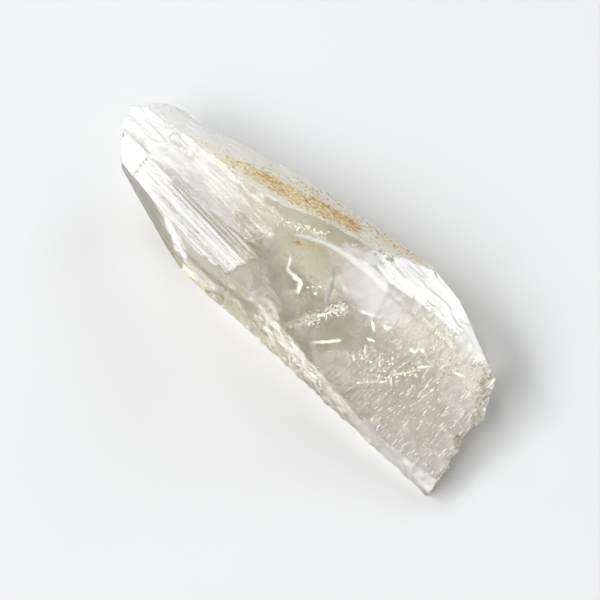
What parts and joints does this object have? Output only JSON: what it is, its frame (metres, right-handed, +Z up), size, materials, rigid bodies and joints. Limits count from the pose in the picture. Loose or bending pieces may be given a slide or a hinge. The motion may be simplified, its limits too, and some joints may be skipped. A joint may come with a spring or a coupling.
{
  "type": "quartz crystal",
  "caption": "Raw clear quartz point lying on its side: striated sloping faces towards a chipped tip, a long shell-shaped fracture and a ragged broken end.",
  "frame": {"origin": "under the middle of the crystal's box, on the surface that it rests on", "axes": "+X along the crystal from its tip to its broken end, +Y towards the iron-stained face, +Z up from the surface that it rests on"},
  "size_m": [0.0758, 0.0254, 0.015],
  "materials": {
    "quartz": "natural glassy quartz, clear and faintly smoky yellow, rough where it is broken, with orange iron specks on one face"
  },
  "bodies": {
    "root": {"quartz_crystal": "quartz"}
  },
  "joints": []
}
